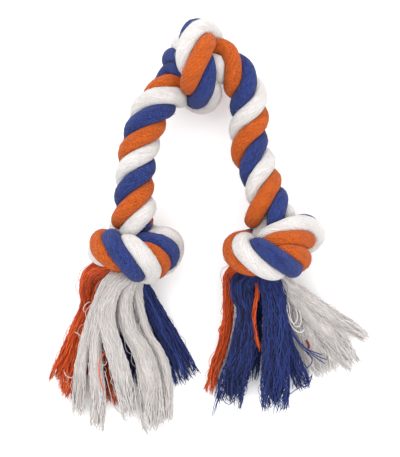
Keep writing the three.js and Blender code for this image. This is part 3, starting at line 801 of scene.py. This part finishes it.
def strand_hairs(name, surface, outward, rng):
    """Short fibres that lie along a strand's surface and stand off it a little."""
    lines, radii = [], []
    reach = round(HAIR_LENGTH / RING_STEP)
    rows = rng.integers(reach, len(surface) - 2 * reach, HAIRS)
    columns = rng.integers(0, STRAND_SIDES, HAIRS)
    for row, column in zip(rows, columns):
        turns = rng.integers(-HAIR_TURN, HAIR_TURN + 1, 2)
        steps = [(row, column), (row + 1, column + turns[0]), (row + reach, column + turns.sum())]
        foot, middle, tip = (surface[r, c % STRAND_SIDES] for r, c in steps)
        rise = rng.random(2) * HAIR_RISE
        middle = middle + outward[row, column] * rise[0]
        tip = tip + outward[row, column] * (rise[0] + rise[1])
        line = np.array([foot, middle, tip])[:: rng.choice((-1, 1))]
        line[:, 2] = np.maximum(line[:, 2], HAIR_RADIUS)
        lines.append(line)
        radii.append([HAIR_RADIUS] * 3)
    return swept(name, lines, radii)


def strand_piece(name, paths, rng):
    """One strand: a tube from tassel to tassel, pressed by its neighbours and cut flat on the floor."""
    path = paths[name]
    outward, reach = pressed_reaches(name, paths)
    rings = len(path["points"])
    close = np.clip(np.minimum(path["run"], path["run"][-1] - path["run"]) / STRAND_TAPER, 0, 1)
    taper = STRAND_TIP_SHARE + (1 - STRAND_TIP_SHARE) * close
    reach = reach * taper[:, None] * lumps(path["run"], rng)
    surface = path["points"][:, None, :] + outward * reach[:, :, None]
    surface[:, :, 2] = np.maximum(surface[:, :, 2], FLOOR_ROOM)
    surface += FRAME_SHIFT
    bm = bmesh.new()
    bm.loops.layers.uv.verify()
    bmesh.ops.create_grid(bm, x_segments=STRAND_SIDES, y_segments=rings - 1, size=1, calc_uvs=True)
    for vert in bm.verts:
        around = round((vert.co.x + 1) / 2 * STRAND_SIDES) % STRAND_SIDES
        along = round((vert.co.y + 1) / 2 * (rings - 1))
        vert.co = surface[along, around]
    bmesh.ops.remove_doubles(bm, verts=bm.verts, dist=WELD)
    bmesh.ops.holes_fill(bm, edges=[e for e in bm.edges if e.is_boundary], sides=STRAND_SIDES)
    bmesh.ops.recalc_face_normals(bm, faces=bm.faces)
    bm.from_mesh(strand_hairs(f"{name}_hairs", surface, outward, rng))
    mesh = bpy.data.meshes.new(f"{name}_strand_rope")
    bm.to_mesh(mesh)
    bm.free()
    mesh.shade_smooth()
    piece = bpy.data.objects.new(f"{name}_strand_rope", mesh)
    bpy.context.scene.collection.objects.link(piece)
    return piece


def lock_line(name, paths):
    """A lock's path, the ways across and over it, and its half width and half thickness along it."""
    side, colour, _, number = name.split("_")
    count = sum(key.startswith(f"{side}_{colour}") for key in LOCKS)
    points = paths[colour]["points"][:: 1 if side == "left" else -1]
    root = round(LOCK_ROOT / RING_STEP)
    outward = (points[0] - points[root]) / np.linalg.norm(points[0] - points[root])
    level = np.cross([0, 0, 1], outward)
    level /= np.linalg.norm(level)
    width = LOCK_START_SPAN / count
    aside = level * (int(number) - (count + 1) / 2) * width
    starts = [points[round(root * share)] + aside for share in LOCK_ROOT_SHARES]
    controls = [[*start, width, LOCK_START_HEIGHT] for start in starts]
    places = place(LOCKS[name])
    past = places[-1] - places[-2]
    places[-1, :2] += past[:2] / np.linalg.norm(past[:2]) * LOCK_EXTRA
    fine, run = smooth_line(np.concatenate([controls, places]))
    line, at = even_points(fine, run, YARN_STEP)
    ahead, _, _ = directions(line[:, :3])
    across = np.cross([0, 0, 1], ahead)
    across /= np.linalg.norm(across, axis=1)[:, None]
    return dict(
        line=line[:, :3],
        at=at,
        across=across * line[:, 3:4] / 2,
        over=np.cross(ahead, across) * line[:, 4:5] / 2,
        width=line[:, 3].mean(),
        loose=LOOSE_SHARES[f"{side}_{colour}"],
    )


def wander(rng, at, rows, reach, wave):
    """Smooth wandering for a number of yarns, with waves of about one length."""
    total = np.zeros((rows, len(at)))
    for share in WAVE_SHARES:
        phase = rng.uniform(0, 2 * math.pi, (rows, 1))
        length = wave * share * rng.uniform(*WAVE_LENGTH_SHARES, (rows, 1))
        total += np.sin(2 * math.pi * at[None, :] / length + phase) * reach / WAVE_SUM
    return total


def creased(angle, at, phases):
    """How far a lock's body reaches at a bearing round it, as a share of its half width."""
    share = np.full(np.broadcast(angle, at).shape, BODY_SHARE)
    for (count, length, depth), phase in zip(CREASES, phases):
        share -= depth * np.abs(np.sin(count * (angle / 2 + math.pi * at / length / count) + phase))
    return share


def lock_yarns(lock, phases, rng):
    """The loose yarns on a lock, each with its thickness: they lie on its body and end in tufts."""
    at = lock["at"]
    count = round(math.pi * lock["width"] / YARN_SPACING)
    tufts = max(2, round(math.pi * lock["width"] / 2 / TUFT_WIDTH))
    start = 2 * math.pi * (np.arange(count) + rng.uniform(-0.5, 0.5, count)) / count
    tuft = np.floor(start / (2 * math.pi) * tufts).astype(int) % tufts
    keep_tuft = 1 - TUFT_SHORTER_SHARE * rng.random(tufts)
    gather = np.clip(1 - (at[-1] - at) / TUFT_LENGTH, 0, 1) ** 2 * TUFT_GATHER
    twist = rng.uniform(-LOCK_TWIST, LOCK_TWIST) * at / at[-1]
    drift = wander(rng, at, count, YARN_DRIFT, YARN_DRIFT_WAVE)
    aside = wander(rng, at, count, YARN_WANDER * lock["loose"], YARN_WAVE)
    above = wander(rng, at, count, YARN_WANDER, YARN_WAVE)
    away = np.maximum(0, wander(rng, at, count, WISP_REACH, WISP_WAVE))
    sideways = lock["across"] / np.linalg.norm(lock["across"], axis=1)[:, None]
    yarns = []
    for k in range(count):
        middle = 2 * math.pi * (tuft[k] + 0.5) / tufts
        angle = start[k] + drift[k] + twist + (middle - start[k]) * gather
        share = creased(angle, at, phases) * (1 - TUFT_DRAW_IN * gather / TUFT_GATHER)
        keep = round(len(at) * keep_tuft[tuft[k]] * (1 - YARN_SHORTER_SHARE * rng.random() ** 2))
        tip = np.clip(1 - (at[keep - 1] - at) / FRAY_LENGTH, 0, 1) ** FRAY_CURL
        fray = rng.normal(0, FRAY_REACH, 3) * FRAY_FLAT_SHARES
        out = np.cos(angle)[:, None] * lock["across"] + np.sin(angle)[:, None] * lock["over"]
        reach = np.linalg.norm(out, axis=1)[:, None]
        wisp = rng.random() < WISP_SHARE
        lift = above[k] + away[k] * wisp
        points = lock["line"] + out * share[:, None] + out / reach * lift[:, None]
        points += sideways * aside[k][:, None]
        points += fray * tip[:, None]
        radius = YARN_RADIUS * (WISP_THIN_SHARE if wisp else 1)
        yarns.append((points[:keep], radius, rng.random()))
    return yarns


def stray_yarns(name):
    """The yarns that hang off a lock, as smooth lines."""
    radius, tone = STRAY_LOOKS.get(name, STRAY_LOOK)
    drawn = []
    for route in STRAYS.get(name, []):
        fine, run = smooth_line(place(route))
        points, _ = even_points(fine, run, YARN_STEP / 2)
        drawn.append((points, radius, tone))
    return drawn


def lock_body(bm, lock, phases, rng):
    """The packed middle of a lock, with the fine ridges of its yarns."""
    at = lock["at"][lock["at"] <= lock["at"][-1] - BODY_BACK]
    rings = len(at)
    angle = 2 * math.pi * np.arange(BODY_SIDES) / BODY_SIDES
    knots = rng.random((rings // BODY_STREAK + 2, BODY_SIDES))
    where = np.arange(rings) / BODY_STREAK
    low = where.astype(int)
    part = (where - low)[:, None]
    streak = knots[low] * (1 - part) + knots[low + 1] * part
    share = creased(angle[None, :], at[:, None], phases) - BODY_RIDGE * streak
    share *= np.sqrt(np.clip((at[-1] - at) / BODY_TAPER, BODY_TIP_SHARE, 1))[:, None]
    out = np.cos(angle)[None, :, None] * lock["across"][:rings, None]
    out = out + np.sin(angle)[None, :, None] * lock["over"][:rings, None]
    surface = lock["line"][:rings, None] + out * share[:, :, None] + FRAME_SHIFT
    surface[:, :, 2] = np.maximum(surface[:, :, 2], YARN_RADIUS)
    tone = bm.verts.layers.float["tone"]
    grid = bmesh.ops.create_grid(bm, x_segments=BODY_SIDES, y_segments=rings - 1, size=1)
    for vert in grid["verts"]:
        around = round((vert.co.x + 1) / 2 * BODY_SIDES) % BODY_SIDES
        along = round((vert.co.y + 1) / 2 * (rings - 1))
        vert.co = surface[along, around]
        # The streaks' tone, lowered all over as painted shade in the gaps between the yarns on the body
        vert[tone] = BODY_TONE * streak[along, around] - BODY_PAINTED_SHADE
    bmesh.ops.remove_doubles(bm, verts=grid["verts"], dist=WELD)
    body = [v for v in grid["verts"] if v.is_valid]
    edges = {e for v in body for e in v.link_edges if e.is_boundary}
    bmesh.ops.holes_fill(bm, edges=list(edges), sides=BODY_SIDES)
    bmesh.ops.recalc_face_normals(bm, faces=list({f for v in body for f in v.link_faces}))


def lock_piece(name, paths, rng):
    """One lock as one piece: its body and a round section swept along each of its yarns."""
    lock = lock_line(name, paths)
    phases = rng.uniform(0, math.pi, len(CREASES))
    yarns = lock_yarns(lock, phases, rng) + stray_yarns(name)
    lines, radii, tones = [], [], []
    for points, size, shade in yarns:
        radius = np.full(len(points), size * rng.uniform(*YARN_RADIUS_SHARES))
        radius[-2:] *= YARN_TIP_SHARES
        points = points + FRAME_SHIFT
        points[:, 2] = np.maximum(points[:, 2], radius)
        lines.append(points)
        radii.append(radius)
        tones.append((len(points) * YARN_SIDES, shade))
    mesh = swept(f"{name}_yarns", lines, radii)
    # The yarns' tones, in the order that the swept mesh has its caps and tubes in
    caps = [np.full(2 * YARN_SIDES, shade) for _, shade in reversed(tones)]
    tubes = [np.full(count, shade) for count, shade in tones]
    tone = mesh.attributes.new("tone", "FLOAT", "POINT")
    tone.data.foreach_set("value", np.concatenate(caps + tubes))
    bm = bmesh.new()
    bm.from_mesh(mesh)
    bmesh.ops.remove_doubles(bm, verts=bm.verts, dist=CAP_WELD)
    lock_body(bm, lock, phases, rng)
    bm.to_mesh(mesh)
    bm.free()
    mesh.shade_smooth()
    piece = bpy.data.objects.new(f"{name}_yarns", mesh)
    bpy.context.scene.collection.objects.link(piece)
    return piece


class Finish:
    """Nodes of one material, joined by name."""

    def __init__(self, name):
        self.material = bpy.data.materials.new(name)
        self.material.use_nodes = True
        self.nodes = self.material.node_tree.nodes
        self.links = self.material.node_tree.links
        self.shader = self.nodes["Principled BSDF"]

    def node(self, kind, inputs=(), **settings):
        node = self.nodes.new(kind)
        for key, value in settings.items():
            setattr(node, key, value)
        for key, value in dict(inputs).items():
            self.put(node.inputs[key], value)
        return node

    def put(self, socket, value):
        if isinstance(value, bpy.types.NodeSocket):
            self.links.new(value, socket)
        else:
            socket.default_value = value

    def math(self, operation, a, b=0.0):
        return self.node("ShaderNodeMath", {0: a, 1: b}, operation=operation).outputs[0]

    def mix(self, share, a, b):
        node = self.node("ShaderNodeMix", {"Factor": share}, data_type="RGBA")
        self.put(node.inputs["A"], a)
        self.put(node.inputs["B"], b)
        return node.outputs["Result"]

    def weighed(self, *parts):
        """The sum of values, each times its own weight."""
        total = 0.0
        for value, weight in parts:
            values = {0: value, 1: weight, 2: total}
            total = self.node("ShaderNodeMath", values, operation="MULTIPLY_ADD").outputs[0]
        return total

    def noise(self, scale, detail=2.0, roughness=0.5, where=None):
        where = where or self.node("ShaderNodeTexCoord").outputs["Object"]
        values = {"Vector": where, "Scale": scale, "Detail": detail, "Roughness": roughness}
        return self.node("ShaderNodeTexNoise", values).outputs["Fac"]

    def soft_cotton(self, fuzz):
        self.shader.inputs["Roughness"].default_value = 0.92
        self.shader.inputs["Specular IOR Level"].default_value = 0.18
        self.shader.inputs["Sheen Weight"].default_value = fuzz
        self.shader.inputs["Sheen Roughness"].default_value = 0.55


def colour(on_screen):
    """A colour as it looks on screen, in the shader's own scale."""
    return [(c / 12.92 if c <= 0.04045 else ((c + 0.055) / 1.055) ** 2.4) for c in on_screen] + [1.0]


def laid_cotton(name, light, dark, fuzz, speckle, length):
    """A strand's cotton: fine yarns that run round it against its lay, with loose fibres over them."""
    finish = Finish(name)
    uv = finish.node("ShaderNodeSeparateXYZ", {0: finish.node("ShaderNodeUVMap").outputs[0]}).outputs
    along = finish.math("MULTIPLY", uv[1], length)
    turned = finish.math("ADD", uv[0], finish.math("DIVIDE", along, STRAND_TWIST))
    drift = finish.math("MULTIPLY", finish.noise(DRIFT_FINENESS), DRIFT_SHARE)
    bearing = finish.math("MULTIPLY", finish.math("ADD", turned, drift), 2 * math.pi)
    ridge = finish.math("SINE", finish.math("MULTIPLY", bearing, YARNS_ROUND))
    round_it = {
        "X": finish.math("MULTIPLY", finish.math("COSINE", bearing), YARN_FINENESS),
        "Y": finish.math("MULTIPLY", finish.math("SINE", bearing), YARN_FINENESS),
        "Z": finish.math("MULTIPLY", along, YARN_FINENESS_ALONG),
    }
    flow = finish.node("ShaderNodeCombineXYZ", round_it).outputs[0]
    yarn = finish.noise(1.0, 3.0, 0.6, flow)
    fibre = finish.noise(FIBRES_TO_A_YARN, 3.0, 0.6, flow)
    fluff = finish.noise(FLUFF_FINENESS, 3.0, 0.65)
    height = finish.weighed((ridge, 0.15), (yarn, 0.5), (fibre, 0.35), (fluff, 0.2 * speckle))
    bump = finish.node("ShaderNodeBump", {"Strength": 0.8, "Distance": 0.0016, "Height": height})
    # Each noise is a half on average, and this brings their sum to a half too, midway between the colours
    centring = -0.65 - speckle / 2
    # The ridge term makes the colour darker in the valleys between the yarns, as painted shade in those
    # grooves; the other noises are the cotton's own uneven tone
    share = finish.weighed((ridge, 0.15), (yarn, 1.0), (fibre, 1.3), (fluff, speckle), (1.0, centring))
    finish.put(finish.shader.inputs["Base Color"], finish.mix(share, colour(dark), colour(light)))
    finish.put(finish.shader.inputs["Normal"], bump.outputs[0])
    finish.soft_cotton(fuzz)
    return finish.material


def loose_cotton(name, light, dark, fuzz):
    """The loose yarns' cotton: each yarn has its own tone, and fine fibres."""
    finish = Finish(name)
    tone = finish.node("ShaderNodeAttribute", attribute_name="tone").outputs["Fac"]
    fibre = finish.noise(LOOSE_FIBRE_FINENESS, 2.0, 0.6)
    # The tone is each yarn's own; on a lock's body it is lowered all over as painted shade between the yarns
    share = finish.weighed((tone, 0.9), (fibre, 0.4), (1.0, -0.15))
    bump = finish.node("ShaderNodeBump", {"Strength": 0.4, "Distance": 0.0003, "Height": fibre})
    finish.put(finish.shader.inputs["Base Color"], finish.mix(share, colour(dark), colour(light)))
    finish.put(finish.shader.inputs["Normal"], bump.outputs[0])
    finish.soft_cotton(fuzz)
    return finish.material


# The camera
view = bpy.data.cameras.new("camera")
view.sensor_fit = "AUTO"
view.sensor_width = SENSOR_MM
view.lens = SENSOR_MM * (CAMERA_HEIGHT - PHOTO_MIDDLE[2]) / PHOTO_HEIGHT
camera = bpy.data.objects.new("camera", view)
camera.location = (PHOTO_MIDDLE[0], PHOTO_MIDDLE[1], CAMERA_HEIGHT)
bpy.context.scene.collection.objects.link(camera)
bpy.context.scene.camera = camera
bpy.context.scene.view_settings.view_transform = "Standard"

# The rope's strands, then the locks that their ends fray into
paths = strand_paths()
rng = np.random.default_rng(RANDOM_SEED)
for name in STRANDS:
    path = paths[name]
    strand = strand_piece(name, paths, rng)
    strand.data.materials.append(laid_cotton(f"{name}_laid_cotton", *ROPE_LOOKS[name], path["run"][-1]))
    loose = loose_cotton(f"{name}_loose_cotton", *TASSEL_LOOKS[name])
    for lock in LOCKS:
        if lock.split("_")[1] != name:
            continue
        piece = lock_piece(lock, paths, rng)
        piece.data.materials.append(loose)
        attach(piece, "root")
        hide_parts(lock)
    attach(strand, "root")
    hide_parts(f"{name}_strand")

# The floor and a soft studio light
bpy.ops.mesh.primitive_plane_add(size=FLOOR_SIZE, location=(0, 0, 0))
floor = bpy.context.object
floor.name = "floor"
pale = Finish("pale_floor")
pale.shader.inputs["Base Color"].default_value = colour(FLOOR_COLOUR)
pale.shader.inputs["Roughness"].default_value = 0.9
pale.shader.inputs["Specular IOR Level"].default_value = 0.1
floor.data.materials.append(pale.material)

world = bpy.data.worlds.new("studio")
world.use_nodes = True
background = world.node_tree.nodes["Background"]
background.inputs["Color"].default_value = (1, 1, 1, 1)
background.inputs["Strength"].default_value = STUDIO_LIGHT
bpy.context.scene.world = world


def softbox(name, stand, watts):
    """A square lamp that looks from where it stands to the middle of the floor."""
    lamp = bpy.data.lights.new(name, "AREA")
    lamp.shape = "SQUARE"
    lamp.size = SOFTBOX_SIZE
    lamp.energy = watts
    box = bpy.data.objects.new(name, lamp)
    box.location = stand
    box.rotation_euler = (-Vector(stand)).to_track_quat("-Z", "Y").to_euler()
    bpy.context.scene.collection.objects.link(box)


for name, (stand, watts) in SOFTBOXES.items():
    softbox(name, stand, watts)
